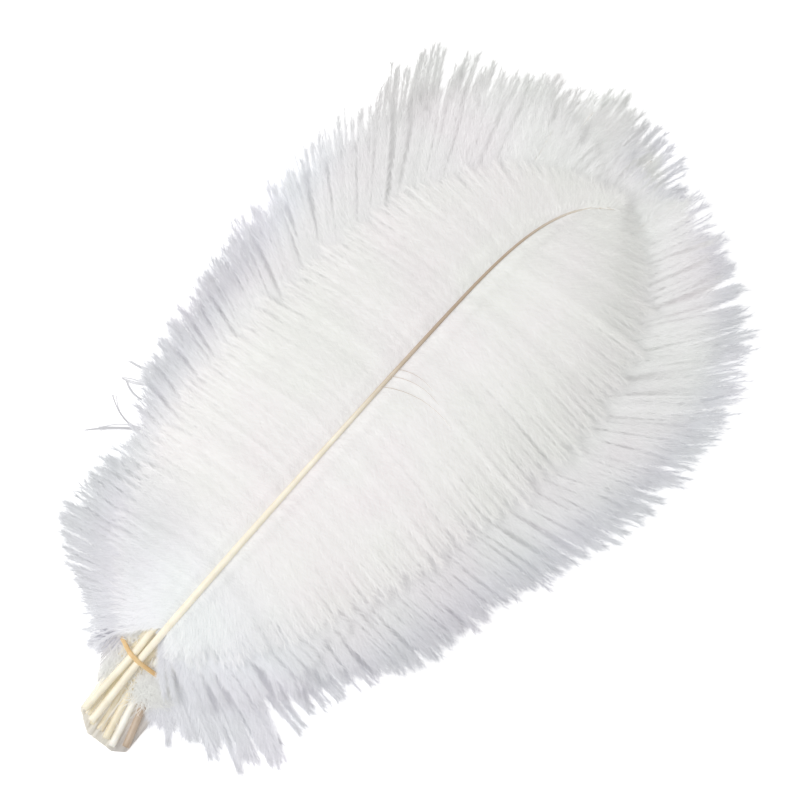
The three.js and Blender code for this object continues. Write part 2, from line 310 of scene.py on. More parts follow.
# Past its quill the top shaft is brown, and lighter at its tip; the others are pale.
TOP_SHAFT_TINTS = [(0.47, 0.37, 0.28), (0.74, 0.7, 0.64)]
LOWER_SHAFT_TINTS = [(0.9, 0.9, 0.89), (0.9, 0.9, 0.89)]
# Painted shade along both edges of the quills and shafts, where their round sides turn away.
QUILL_EDGE_SHADE = 0.08
TOP_SHAFT_EDGE_SHADE = 0.26  # added to it past the top quill
EDGE_TINT = [0.75, 0.9, 1.1]  # how strong an edge's shade is in red, green and blue
LOWER_SHAFT_SINK = 2.0  # the lower shafts lie this far under their ridges past the quill
SHAFT_SIDES = 18
BORE_RINGS = 6
BORE_WALL = 0.32  # share of the radius
BAND_SWELL = 0.3

# The studio, in metres and watts.
FLOOR_HALF = 4.0
FLOOR_DEPTH = 0.0005
FLOOR_GLOW = 0.42
WORLD_LIGHT = 0.655
LAMP_SIZE = 1.2
LAMP_POWER = 13
LAMP_DISTANCE = 1.1
LAMP_HEIGHT = 1.3

# The photograph's view: straight down, with the bundle's length 44 degrees above the horizontal.
VIEW_ROLL = 44.0
FRAME_WIDTH = 576.0  # millimetres across the picture, at the pile's middle height
FRAME_CENTRE = (262.7, 3.6)
PILE_MIDDLE = 20.0
CAMERA_LENS = 150.0
SENSOR = 36.0

GRID_STEP = 5.0
GRID_X = np.arange(-80, 576, GRID_STEP)
GRID_Y = np.arange(-205, 206, GRID_STEP)

band_low, band_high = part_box("rubber_band")
ORIGIN = np.array([
    band_high.x - BAND_WIDTH / 2 * MM,
    (band_low.y + band_high.y) / 2 - BAND_MIDDLE_Y * MM,
    0.0,
])

# ---------------- small helpers


def to_frame(points):
    """Millimetres from the band, to metres in the frame's axes."""
    return np.asarray(points) * MM + ORIGIN


def ease(low, high, value):
    """A soft ramp from 0 at low to 1 at high."""
    share = np.clip((value - low) / (high - low), 0, 1)
    return share * share * (3 - 2 * share)


def fade(x, y, over_x, over_y):
    """The product of some ramps over x and some over y."""
    share = 1.0
    for low, high in over_x:
        share = share * ease(low, high, x)
    for low, high in over_y:
        share = share * ease(low, high, y)
    return share


def unit(vectors):
    return vectors / np.maximum(np.linalg.norm(vectors, axis=-1, keepdims=True), 1e-9)


def across(directions):
    """Level vectors to the left of some directions."""
    return unit(np.stack([-directions[..., 1], directions[..., 0], 0 * directions[..., 0]], -1))


def steps(paths):
    """Directions along each path, one for every station."""
    return unit(np.diff(paths, axis=1, append=2 * paths[:, -1:] - paths[:, -2:-1]))


def path_lengths(paths):
    return np.linalg.norm(np.diff(paths, axis=1), axis=-1).sum(1)


def turned(vectors, degrees):
    """Plan vectors turned to the left."""
    angle = np.radians(degrees)
    x = vectors[..., 0] * np.cos(angle) - vectors[..., 1] * np.sin(angle)
    y = vectors[..., 0] * np.sin(angle) + vectors[..., 1] * np.cos(angle)
    return np.stack([x, y], -1)


# ---------------- plan of a plume


def shaft_plan(plume, parts=240):
    """The shaft past the band, as points at even shares of its length."""
    share = (np.arange(parts) + 0.5) / parts
    bent = np.clip((share - 0.6) / 0.4, 0, 1) ** 4 * plume["hook"]
    angle = np.radians(plume["fan"] * (1 - 0.5 * share) - bent)
    step = plume["length"] / parts
    x = np.concatenate([[0], np.cumsum(step * np.cos(angle))])
    y = plume["y"] + np.concatenate([[0], np.cumsum(step * np.sin(angle))])
    return np.stack([x, y], 1)


def along(points, share):
    """Points of an evenly spaced line at shares of its length."""
    at = np.clip(share, 0, 1) * (len(points) - 1)
    low = np.minimum(at.astype(int), len(points) - 2)
    rest = (at - low)[..., None]
    return points[low] * (1 - rest) + points[low + 1] * rest


def heading(points, share):
    step = 1.5 / (len(points) - 1)
    ahead = along(points, share + step) - along(points, share - step)
    return np.arctan2(ahead[..., 1], ahead[..., 0])


def vane_outline(plume, plan, side):
    """One side's rim as x, y and the share of the vane where the barbs that end there grow."""
    half_width = plume["left"] if side > 0 else plume["right"]
    foot = along(plan, np.array(plume["foot"] / plume["length"]))
    reach = plan[-1] - foot
    length = np.hypot(*reach)
    forward = reach / length
    out = np.array([-forward[1], forward[0]]) * side
    corners = np.array(
        [[*(foot + forward * f * length + out * o * half_width), r] for f, o, r in SIDE_OUTLINE]
    )
    padded = np.vstack([2 * corners[0] - corners[1], corners, 2 * corners[-1] - corners[-2]])
    t = np.linspace(0, 1, 24, endpoint=False)[:, None]
    curve = []
    for a, b, c, d in zip(padded, padded[1:], padded[2:], padded[3:]):
        curve.append(
            0.5 * (2 * b + (c - a) * t + (2 * a - 5 * b + 4 * c - d) * t**2
                   + (3 * b - a - 3 * c + d) * t**3)
        )
    curve = np.vstack(curve + [corners[-1:]])
    run = np.concatenate([[0], np.cumsum(np.hypot(*np.diff(curve[:, :2], axis=0).T))])
    even = np.linspace(0, run[-1], 400)
    return np.stack([np.interp(even, run, curve[:, k]) for k in range(3)], 1)


# ---------------- fields over the plan


def sample(field, x, y):
    """A grid's values between its points."""
    fx = np.clip((x - GRID_X[0]) / GRID_STEP, 0, len(GRID_X) - 1.001)
    fy = np.clip((y - GRID_Y[0]) / GRID_STEP, 0, len(GRID_Y) - 1.001)
    i, j = fx.astype(int), fy.astype(int)
    u, v = fx - i, fy - j
    near = field[i, j] * (1 - v) + field[i, j + 1] * v
    far = field[i + 1, j] * (1 - v) + field[i + 1, j + 1] * v
    return near * (1 - u) + far * u


def neighbours(field, outside):
    """A field and its four neighbours, with a value or the border's own values beyond it."""
    if outside == "edge":
        padded = np.pad(field, 1, mode="edge")
    else:
        padded = np.pad(field, 1, constant_values=outside)
    return np.stack([
        field, padded[:-2, 1:-1], padded[2:, 1:-1], padded[1:-1, :-2], padded[1:-1, 2:],
    ])


def carry_out(field, rounds=14):
    """Carries a field out over its empty cells, from the nearest full ones."""
    for _ in range(rounds):
        near = neighbours(field, np.nan)
        full = ~np.isnan(near)
        mean = np.where(full, near, 0).sum(0) / np.maximum(full.sum(0), 1)
        field = np.where(np.isnan(field) & full.any(0), mean, field)
    return np.nan_to_num(field, nan=2.0)


def count_points(points):
    edges_x = np.append(GRID_X, GRID_X[-1] + GRID_STEP) - GRID_STEP / 2
    edges_y = np.append(GRID_Y, GRID_Y[-1] + GRID_STEP) - GRID_STEP / 2
    return np.histogram2d(points[:, 0], points[:, 1], bins=(edges_x, edges_y))[0]


def covered(counts):
    """1 where enough barbules lie over the plan, and 0 towards their rim and beyond."""
    field = np.clip(counts / HIDING_COUNT, 0, 1)
    for _ in range(HIDING_MARGIN):
        field = neighbours(field, 0).min(0)
    return field


def blurred(field, rounds, outside=0):
    for _ in range(rounds):
        field = neighbours(field, outside).mean(0)
    return field


def node_tree(name):
    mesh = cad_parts[name].data
    corners = [v.co for v in mesh.vertices]
    return BVHTree.FromPolygons(corners, [p.vertices[:] for p in mesh.polygons])


def cast(tree, points, down=True):
    """Heights in millimetres where vertical rays meet a node, with nan where they miss."""
    start, way = (1.0, Vector((0, 0, -1))) if down else (-1.0, Vector((0, 0, 1)))
    heights = np.full(len(points), np.nan)
    for i, (x, y) in enumerate(np.asarray(points) * MM + ORIGIN[:2]):
        hit = tree.ray_cast(Vector((x, y, start)), way)[0]
        if hit is not None:
            heights[i] = hit.z / MM
    return heights


class Layer:
    """One vane solid's middle height and half thickness over the plan."""

    def __init__(self, name, foot):
        self.tree = node_tree(name)
        x, y = np.meshgrid(GRID_X, GRID_Y, indexing="ij")
        cells = np.stack([x.ravel(), y.ravel()], 1)
        top = cast(self.tree, cells).reshape(x.shape)
        bottom = cast(self.tree, cells, down=False).reshape(x.shape)
        top[x < foot - VANE_MARGIN] = np.nan
        self.full = ~np.isnan(top)
        self.middle = blurred(carry_out((top + bottom) / 2), LAYER_BLUR, "edge")
        self.half = np.clip(carry_out((top - bottom) / 2), *HALF_THICKNESS)


# ---------------- hairs as mesh


class Hairs:
    """Ribbons and needles gathered into one mesh, with a tint on every corner."""

    def __init__(self):
        self.points = []
        self.tints = []
        self.quads = []
        self.triangles = []
        self.count = 0

    def _add(self, points, tints):
        first = self.count
        self.points.append(points)
        self.tints.append(tints)
        self.count += len(points)
        return first

    def ribbons(self, paths, half_widths, sides, tints):
        """paths, sides, tints: (n, stations, 3); half_widths: (n, stations)."""
        n, stations = half_widths.shape
        left = paths + sides * half_widths[..., None]
        right = paths - sides * half_widths[..., None]
        corners = np.stack([left, right], 2).reshape(-1, 3)
        first = self._add(corners, np.repeat(tints.reshape(-1, 3), 2, axis=0))
        ribbon = np.arange(n)[:, None] * stations * 2
        station = np.arange(stations - 1)[None, :] * 2
        a = (first + ribbon + station).ravel()
        self.quads.append(np.stack([a, a + 1, a + 3, a + 2], 1))

    def needles(self, bases, reaches, sides, tints):
        """One thin triangle each, from a base to its point."""
        corners = np.stack([bases - sides, bases + sides, bases + reaches], 1).reshape(-1, 3)
        first = self._add(corners, np.repeat(tints, 3, axis=0))
        a = first + 3 * np.arange(len(bases))
        self.triangles.append(np.stack([a, a + 1, a + 2], 1))

    def build(self, name, material):
        quads = np.concatenate(self.quads or [np.zeros((0, 4), int)])
        triangles = np.concatenate(self.triangles or [np.zeros((0, 3), int)])
        starts = np.concatenate([
            np.arange(len(quads)) * 4, len(quads) * 4 + np.arange(len(triangles)) * 3,
        ])
        mesh = bpy.data.meshes.new(name)
        mesh.vertices.add(self.count)
        mesh.vertices.foreach_set("co", to_frame(np.concatenate(self.points)).ravel())
        mesh.loops.add(4 * len(quads) + 3 * len(triangles))
        mesh.loops.foreach_set(
            "vertex_index", np.concatenate([quads.ravel(), triangles.ravel()])
        )
        mesh.polygons.add(len(starts))
        mesh.polygons.foreach_set("loop_start", starts)
        mesh.update(calc_edges=True)
        paint(mesh, np.concatenate(self.tints))
        return place(name, mesh, material)


def paint(mesh, tints):
    layer = mesh.color_attributes.new("tint", "FLOAT_COLOR", "POINT")
    layer.data.foreach_set("color", np.hstack([tints, np.ones((len(tints), 1))]).ravel())


def place(name, mesh, material):
    mesh.materials.append(material)
    made = bpy.data.objects.new(name, mesh)
    bpy.context.scene.collection.objects.link(made)
    return made


# ---------------- barbs and barbules


def draw_locks(count, side, rng):
    """The number of the strand that each barb belongs to; strands are thick at the right base."""
    lock = np.zeros(count, int)
    barb = number = 0
    while barb < count:
        size = rng.integers(1, 3)
        if side < 0 and barb < 0.2 * count:
            size = rng.integers(BASE_LOCK - 3, BASE_LOCK + 3)
        lock[barb:barb + size] = number
        barb += size
        number += 1
    return lock


def rim_stretch(number, side, rim_share):
    """How much longer than the outline asks the barbs of one side are, along its rim."""
    stretch = np.ones_like(rim_share)
    for plume_number, swell_side, spot, width, amount in SWELLS:
        if (plume_number, swell_side) == (number, side):
            stretch += amount * np.exp(-(((rim_share - spot) / width) ** 2))
    if number == TOP:
        stretch *= np.interp(rim_share, TOP_SHARE, TOP_STRETCH[side])
    return stretch


def root_lean(number, side, rim_share):
    if number < TOP:
        return np.interp(rim_share, LEAN_SHARE, LEAN_LOWER)
    return np.interp(rim_share, LEAN_SHARE, LEAN_TOP_RIGHT) * (side < 0)


def barb_curves(root, end, angle):
    """Barbs leave the shaft leaning forward and soon turn towards their ends."""
    reach = np.hypot(*(end - root).T)[:, None]
    lean = np.stack([np.cos(angle), np.sin(angle)], 1) * reach
    first = (root + 0.2 * lean)[:, None]
    second = (root + 0.5 * (end - root) + 0.07 * lean)[:, None]
    t = np.linspace(0, 1, BARB_STATIONS)[None, :, None]
    return (
        (1 - t) ** 3 * root[:, None]
        + 3 * t * (1 - t) ** 2 * first
        + 3 * t * t * (1 - t) * second
        + t**3 * end[:, None]
    )


def space_barbs(number, side, plan, rng):
    """Shares of the rim where barbs end, those places, and the shaft's shares at their roots."""
    plume = PLUMES[number - 1]
    count = BARB_COUNTS[number - 1]
    outline = vane_outline(plume, plan, side)
    spacing = 0.6 * outline[:, 2] + 0.4 * np.linspace(0, 1, len(outline))
    order = (np.arange(count) + 0.5 + rng.uniform(-0.35, 0.35, count)) / count
    rim_share = np.interp(order, spacing, np.linspace(0, 1, len(outline)))
    rim = along(outline, rim_share)
    foot_share = plume["foot"] / plume["length"]
    root_share = foot_share + (1 - foot_share) * rim[:, 2] - root_lean(number, side, rim_share)
    return rim_share, rim[:, :2], np.maximum(root_share, foot_share)


def barb_ends(root, rim, rim_share, stretch, lock, base, kind, rng):
    """Barbs end near the outline, some short of it, and swing a little from their places."""
    strands = lock[-1] + 1
    (long, long_height), (short, short_height) = RIM_WAVES
    wave = np.sin(rim_share * long + rng.uniform(0, 6)) * long_height
    wave = wave + np.sin(rim_share * short) * short_height
    loose = rng.normal(0, STRAND_RAGGED, strands)[lock] * (1 + BASE_RAGGED * base)
    ragged = rng.uniform(BARB_SHORTFALL[kind], BARB_EXCESS, len(root))
    reach = BARB_REACH[kind] + wave + loose + ragged
    way = (rim - root) * (stretch * reach)[:, None]
    swing = rng.normal(0, STRAND_SWING[kind], strands)[lock] * (1 + BASE_SWING * base)
    return root + turned(way, swing + rng.normal(0, BARB_SWING[kind], len(root)))


def gather_strands(flat, lock, base, kind, rng):
    """Strands close up towards their tips, waver slowly and curl at their ends."""
    strands = lock[-1] + 1
    u = np.linspace(0, 1, BARB_STATIONS)
    centre = np.zeros((strands, BARB_STATIONS, 2))
    np.add.at(centre, lock, flat)
    centre /= np.bincount(lock)[:, None, None]
    close = LOCK_PULL[kind] + (BASE_PULL - LOCK_PULL[kind]) * base
    pull = close[:, None] * ease(0.5, 1, u)
    flat = flat + (centre[lock] - flat) * pull[..., None]
    phase = rng.uniform(0, 2 * math.pi, strands)[lock][:, None]
    waver = STRAND_WAVER * np.sin(phase + u * rng.uniform(3, 7, strands)[lock][:, None])
    curl = rng.normal(0, STRAND_CURL[kind], strands)[lock][:, None] * ease(0.7, 1, u) ** 2
    return flat + across(steps(flat))[..., :2] * (waver * u + curl)[..., None]


def barb_heights(flat, lock, layer, droop, rng):
    """Barbs rise over the shaft's edge, lie within their layer and sink towards their tips."""
    u = np.linspace(0, 1, BARB_STATIONS)
    middle = sample(layer.middle, flat[..., 0], flat[..., 1])
    half = sample(layer.half, flat[..., 0], flat[..., 1])
    strand_depth = rng.uniform(*STRAND_DEPTH, lock[-1] + 1)[lock]
    depth = strand_depth[:, None] + rng.normal(0, BARB_DEPTH, len(flat))[:, None]
    height = middle + half * depth
    height = height + (middle[:, :1] - height) * (1 - ease(0, 0.07, u))
    height = height + BARB_RISE * np.exp(-(((u - 0.1) / 0.08) ** 2))
    return np.maximum(height - droop * ease(0.7, 1, u) ** 2, LOWEST_BARB)


def lay_barbs(number, side, plan, layer, rng):
    """The barbs of one side of a vane: (n, stations, 3) paths and the strands they belong to."""
    rim_share, rim, root_share = space_barbs(number, side, plan, rng)
    root = along(plan, root_share)
    lock = draw_locks(len(root), side, rng)
    # 1 at the right base, where strands are thick and unruly, and 0 elsewhere.
    base = 1 - ease(0.08, 0.25, rim_share) if side < 0 else 0 * rim_share
    kind = int(number == TOP)
    stretch = rim_stretch(number, side, rim_share)
    end = barb_ends(root, rim, rim_share, stretch, lock, base, kind, rng)
    tip = np.clip((root_share - 0.8) / 0.2, 0, 1) ** 1.5
    leave = BARB_ANGLE + (TIP_BARB_ANGLE - BARB_ANGLE) * tip + rng.normal(0, 2.0, len(root))
    flat = barb_curves(root, end, heading(plan, root_share) + np.radians(leave) * side)
    flat = gather_strands(flat, lock, base, kind, rng)
    droop = TOP_RIGHT_DROOP if (number, side) == (TOP, -1) else BARB_DROOP
    height = barb_heights(flat, lock, layer, droop, rng)
    return np.concatenate([flat, height[..., None]], -1), lock


def near_base(colour, x, y):
    """A colour that turns a little blue towards the vanes' base, with painted shade at its left."""
    shade = BASE_LEFT_SHADE * ease(130, 70, x) * ease(20, 60, y)
    return colour * (1 + (BASE_BLUE - 1) * ease(130, 50, x)[..., None]) * (1 - shade)[..., None]


def top_tint(side):
    """The top plume is white; its right side has painted light, and painted shade towards the far
    half of its rim and near its tip.
    """

    def tint(x, y, u, tone):
        shade = TOP_RIM_SHADE * ease(150, 380, x) * ease(0.5, 1, u) - TOP_RIGHT_LIGHT
        shade = (shade + TOP_TIP_SHADE * ease(380, 430, x)) * (side < 0)
        return np.clip(near_base(WHITE, x, y) * (1 - shade + tone)[..., None], 0, LIGHTEST)

    return tint


def lower_tint(pile):
    """Light inside the pile, with painted light inside the crown; towards its rim painted shade,
    blue-grey, and green-grey at the crown.
    """

    def tint(x, y, u, tone):
        far_rim = ease(0.75, 0.9, u) * fade(x, y, *FAR_RIM)
        crown = fade(x, y, *CROWN) * (1 - far_rim)
        rim = BLUE_GREY + (GREEN_GREY - BLUE_GREY) * crown[..., None]
        shade = BARB_TIP_SHADE * ease(0.9, 1, u) + FAR_RIM_SHADE * far_rim
        for amount, over_x, over_y in RIM_SHADES:
            shade = shade + amount * fade(x, y, over_x, over_y)
        rim = rim * (1 - shade)[..., None]
        wider = RIGHT_RIM_WIDENING * ease(-40, -110, y) * (1 + 1.3 * ease(330, 230, x))
        edge = 1 - ease(*RIM_PILE, sample(pile, x, y) - wider)
        light = 1 + CROWN_INNER_LIGHT * ease(380, 450, x)
        colour = near_base(INNER_GREY, x, y) * light[..., None]
        colour = colour + (rim - colour) * edge[..., None]
        return np.clip(colour * (1 + tone)[..., None], 0, LIGHTEST)

    return tint


def add_barbs(hairs, paths, tone, tint, rng):
    """Flat barbs along some paths."""
    u = np.broadcast_to(np.linspace(0, 1, BARB_STATIONS), paths.shape[:2])
    tints = tint(paths[..., 0], paths[..., 1], u, tone[:, None] + 0 * u)
    tilt = rng.normal(0, 0.1, (len(paths), 1)) + 0 * u
    sides = unit(across(steps(paths)) + np.stack([0 * u, 0 * u, tilt], -1))
    thin = 0.2 + 0.8 * ease(0, BARB_TAPER, (1 - u) * path_lengths(paths)[:, None])
    widths = BARB_HALF_WIDTH * thin * (0.4 + 0.6 * ease(0, 0.1, u))
    hairs.ribbons(paths - [0, 0, BARB_SINK], widths, sides, tints)


def place_barbules(paths, wanted, over, rng):
    """Barbules spread evenly, but few where upper plumes lie: barb, share, station and place."""
    tries = wanted * TRIES
    lengths = path_lengths(paths)
    barb = rng.choice(len(paths), tries, p=lengths / lengths.sum())
    at = rng.uniform(0.0, 1.0, tries)
    low = np.minimum((at * (BARB_STATIONS - 1)).astype(int), BARB_STATIONS - 2)
    rest = (at * (BARB_STATIONS - 1) - low)[:, None]
    base = paths[barb, low] * (1 - rest) + paths[barb, low + 1] * rest
    seen = sample(over, base[:, 0], base[:, 1]) < rng.uniform(0, 1, tries)
    keep = np.flatnonzero(seen | (rng.uniform(0, 1, tries) < HIDDEN_SHARE))[:wanted]
    return barb[keep], at[keep], low[keep], base[keep]


def clothe(hairs, paths, tone, tint, wanted, over, rng):
    """Adds barbs along some paths, with barbules, and tells where the barbules are."""
    add_barbs(hairs, paths, tone, tint, rng)
    barb, at, low, base = place_barbules(paths, wanted, over, rng)
    m = len(base)
    along_barb = steps(paths)[barb, low]
    aside = across(along_barb) * np.where(rng.uniform(0, 1, m) < 0.5, -1, 1)[:, None]
    wide, narrow = BARBULE_ANGLE
    opening = wide + (narrow - wide) * ease(0.6, 1, at) + rng.normal(0, BARBULE_SWING, m)
    opening = np.radians(opening)[:, None]
    way = along_barb * np.cos(opening) + aside * np.sin(opening)
    way[:, 2] += rng.normal(0.0, 0.05, m)
    length = BARBULE_LENGTH * rng.uniform(0.6, 1.1, m) * (0.35 + 0.65 * ease(0, 0.08, at))
    reach = unit(way) * length[:, None]
    roll = aside * rng.normal(0.3, 0.15, m)[:, None] + rng.normal(0, 0.12, (m, 3)) + [0, 0, 1]
    width = unit(np.cross(reach, roll)) * BARBULE_HALF_WIDTH * rng.uniform(0.7, 1.3, m)[:, None]
    tints = tint(base[:, 0], base[:, 1], at, tone[barb] + rng.normal(0, BARBULE_TONE, m))
    base[:, 2] = np.maximum(base[:, 2], LOWEST_BARB)
    reach[:, 2] = np.maximum(reach[:, 2], LOWEST_TIP - base[:, 2])
    hairs.needles(base, reach, width, tints)
    return base


def grow_side(hairs, number, side, plan, layer, over, pile, rng):
    """Adds one side of a vane to some hairs, and tells where its barbules are."""
    paths, lock = lay_barbs(number, side, plan, layer, rng)
    strand_tone = rng.normal(0, STRAND_TONE, lock[-1] + 1)[lock]
    tone = strand_tone + rng.normal(0, STRAND_TONE, len(paths))
    tint = top_tint(side) if number == TOP else lower_tint(pile)
    return clothe(hairs, paths, tone, tint, BARBULE_COUNTS[number - 1], over, rng)


def lay_tuft(tuft, rng):
    """Strands that fan out from a root, with their barbs closing up towards each end."""
    x, y, z, end_x, end_y, end_z, spread, strands = tuft
    count = strands * TUFT_BARBS
    strand = np.repeat(np.arange(strands), TUFT_BARBS)
    start = np.array([x, y, z]) + rng.normal(0, 1, (count, 3)) * [4, 4, 0.8]
    end = np.array([end_x, end_y, end_z]) + rng.normal(0, spread, (strands, 3))[strand]
    end[:, 2] = end_z + rng.uniform(-0.5, 0.5, count)
    end += rng.normal(0, 1, (count, 3)) * [0.8, 0.8, 0.2]
    way = end - start
    aside = across(way)
    bow = rng.normal(0, 2.5, strands)[strand]
    t = np.linspace(0, 1, BARB_STATIONS)[None, :, None]
    bulge = aside * bow[:, None] + [0, 0, 1.0]
    return start[:, None] + way[:, None] * t + 4 * t * (1 - t) * bulge[:, None]


def grow_tufts(hairs, pile, rng):
    bare = np.zeros_like(pile)
    for tuft in TUFTS:
        paths = lay_tuft(tuft, rng)
        tone = rng.normal(0, 0.02, len(paths))
        wanted = TUFT_BARBULES * len(paths)
        clothe(hairs, paths, tone, lower_tint(pile), wanted, bare, rng)


def grow_mat(hairs, rng):
    """Flat matted fibres that fill the gaps between the quills, painted lighter against the shade
    there and with painted shade at their ends.
    """
    share = (np.arange(MAT_FIBRES) + 0.5) / MAT_FIBRES
    ends = np.array(MAT_ENDS, float)
    first, last = np.array(MAT_START)
    start = first + np.outer(share, last - first)
    end = np.stack([np.interp(share, ends[:, 0], ends[:, k]) for k in (1, 2)], 1)
    tone = 1 + rng.normal(0, 0.04, (MAT_FIBRES, 1))
    shades = np.array(MAT_TINTS)
    tints = np.stack([np.interp(share, shades[:, 0], shades[:, k]) for k in (1, 2, 3)], 1) * tone
    # Painted shade towards the fibres' ends.
    end_shade = MAT_END_SHADE * ease(0.75, 1, np.linspace(0, 1, STRAY_STATIONS))
    tints = tints[:, None] * (1 - end_shade)[None, :, None]
    bows = rng.normal(0, 0.4, MAT_FIBRES)
    low, high = MAT_HEIGHTS
    lift = 0.15 + 0.85 * ease(0.3, 0.5, share)
    heights = low + (high - low) * rng.uniform(0, 1, MAT_FIBRES) ** 1.5 * lift
    grow_strays(hairs, start, end, bows, heights, MAT_HALF_WIDTH, tints, 0.25)


def grow_strays(hairs, starts, ends, bows, heights, half_width, tint, taper=0.8):
    """Single hairs, each level and bowed to one side."""
    t = np.linspace(0, 1, STRAY_STATIONS)[None, :, None]
    way = ends - starts
    aside = np.stack([-way[:, 1], way[:, 0]], 1) / np.hypot(*way.T)[:, None]
    flat = starts[:, None] + way[:, None] * t + (aside * bows[:, None])[:, None] * 4 * t * (1 - t)
    paths = np.concatenate([flat, np.reshape(heights, (len(starts), -1, 1)) + 0 * t], -1)
    widths = np.broadcast_to(half_width * (1 - taper * t[..., 0]), paths.shape[:2])
    tints = np.broadcast_to(tint, paths.shape)
    hairs.ribbons(paths, widths, across(steps(paths)), tints)


def grow_wisps(hairs, layer, rng):
    """Loose wisps that leave the left rim and sink towards the surface."""
    wisps = np.array(WISPS, float)
    sink = ease(0, 1, np.linspace(0, 1, STRAY_STATIONS))
    for _ in range(WISP_HAIRS):
        shift = rng.normal(0, 0.5, (len(wisps), 2))
        starts, ends = wisps[:, 0:2] + shift, wisps[:, 2:4] + shift * 2.2
        bows = wisps[:, 4] + rng.normal(0, 0.8, len(wisps))
        rim = sample(layer.middle, starts[:, 0], starts[:, 1]) - BARB_DROOP
        heights = rim[:, None] + (wisps[:, 5] - rim)[:, None] * sink
        grow_strays(hairs, starts, ends, bows, heights, WISP_HALF_WIDTH, WISP_TINT, 0.4)


def grow_tan_barbs(hairs, layer, plan):
    """A few long tan barbs lie loose over the top vane, bowed away from the shaft."""
    for share, length, degrees in TAN_BARBS:
        start = along(plan, np.array(share))
        angle = math.degrees(heading(plan, np.array(share))) - 90 + degrees * 0.35
        end = start + turned(np.array([length, 0.0]), angle)
        height = np.array([sample(layer.middle, start[0], start[1]) + TAN_BARB_LIFT])
        bow = np.array([length * 0.11])
        grow_strays(hairs, start[None], end[None], bow, height, TAN_BARB_HALF_WIDTH, TAN)


def grow_down(hairs, rng):
    """Short curly hairs among the quills, next to the band."""
    for x, y, z, reach_x, reach_y, count, toward, spread in DOWN:
        start = np.stack([x + rng.normal(0, reach_x / 2, count),
                          y + rng.normal(0, reach_y / 2, count)], 1)
        angle = rng.normal(toward, spread, count)
        length = rng.uniform(5, 12, count)
        end = start + turned(np.stack([length, 0 * length], 1), angle)
        height = np.maximum(z + rng.normal(0, 0.9, count), 0.4)
        tone = 1 + rng.normal(0, 0.03, (count, 1, 1))
        bow = rng.normal(0, 1.6, count)
        tint = DARK_DOWN_TINT if y > DARK_DOWN_Y else DOWN_TINT
        grow_strays(hairs, start, end, bow, height, DOWN_HALF_WIDTH, tint * tone)


# ---------------- shafts


def shaft_axis(plume, plan, layer, sink):
    """The shaft's axis from the cut end to the tip, under the ridge of its solid, and its radii."""
    end = np.array(plume["end"], float)
    quill = end + (plan[0] - end) * np.linspace(0, 1, 16, endpoint=False)[:, None]
    flat = np.vstack([quill, along(plan, np.linspace(0, 1, 110))])
    ridge = cast(layer.tree, flat + (flat.mean(0) - flat) * 1e-3)
    good = ~np.isnan(ridge)
    run = np.arange(len(flat))
    ridge = np.interp(run, run[good], ridge[good])
    for _ in range(3):
        ridge[1:-1] = (ridge[:-2] + 2 * ridge[1:-1] + ridge[2:]) / 4
    radius = np.interp(flat[:, 0], SHAFT_RADIUS_X, SHAFT_RADIUS)
    depth = sink * ease(90, 180, flat[:, 0])
    height = np.maximum(ridge - radius * SHAFT_FLAT_SHARE - depth, radius)
    return np.column_stack([flat, height]), radius


def shaft_points(axis, radius, turn):
    """Rings of points from the bottom of the cut end's bore, over its lip and on to the tip."""
    forward = unit(np.gradient(axis, axis=0))
    aside = across(forward)
    up = np.cross(forward, aside)
    groove = 0.07 * np.exp(-(((turn - 1.2) / 0.25) ** 2))
    reach = radius[:, None] * (1 - groove)
    rings = (
        axis[:, None]
        + aside[:, None] * (reach * np.cos(turn))[..., None]
        + up[:, None] * (reach * np.sin(turn))[..., None]
    )
    lip = rings[:BORE_RINGS]
    bore = lip + (axis[:BORE_RINGS, None] - lip) * BORE_WALL
    return np.vstack([bore[::-1].reshape(-1, 3), rings.reshape(-1, 3)])


def tube_faces(rings, sides):
    """Quads from ring to ring, and a cap at each end."""
    faces = []
    for ring in range(rings - 1):
        for k in range(sides):
            a, b = ring * sides + k, ring * sides + (k + 1) % sides
            faces.append((a, b, b + sides, a + sides))
    faces.append(tuple((rings - 1) * sides + k for k in range(sides)))
    faces.append(tuple(reversed(range(sides))))
    return faces


def shaft_tints(x, facing, tints, edge_shade):
    """From the quill's tint to the shaft's and its tip's, with painted shade along both edges."""
    quill, shaft, tip = np.array(tints)
    blend, last = ease(190, 330, x)[:, None], ease(390, 470, x)[:, None]
    colours = quill * (1 - blend) + shaft * blend
    colours = colours * (1 - last) + tip * last
    edge = np.abs(facing) ** 5 * (QUILL_EDGE_SHADE + edge_shade * ease(100, 280, x))
    return colours * (1 - edge[:, None] * EDGE_TINT)


def build_shaft(name, axis, radius, tints, edge_shade, material):
    """A tapered round shaft with a hollow cut end."""
    turn = 2 * math.pi * np.arange(SHAFT_SIDES) / SHAFT_SIDES
    points = shaft_points(axis, radius, turn)
    rings = len(points) // SHAFT_SIDES
    faces = tube_faces(rings, SHAFT_SIDES)
    mesh = bpy.data.meshes.new(name)
    mesh.from_pydata(to_frame(points).tolist(), [], faces)
    mesh.update()
    mesh.polygons.foreach_set("use_smooth", np.ones(len(faces), bool))
    facing = np.tile(np.cos(turn), rings)
    paint(mesh, shaft_tints(points[:, 0], facing, tints, edge_shade))
    return place(name, mesh, material)


# ---------------- materials


def new_material(name):
    material = bpy.data.materials.new(name)
    material.use_nodes = True
    tree = material.node_tree
    tree.nodes.clear()
    return material, tree.nodes, tree.links


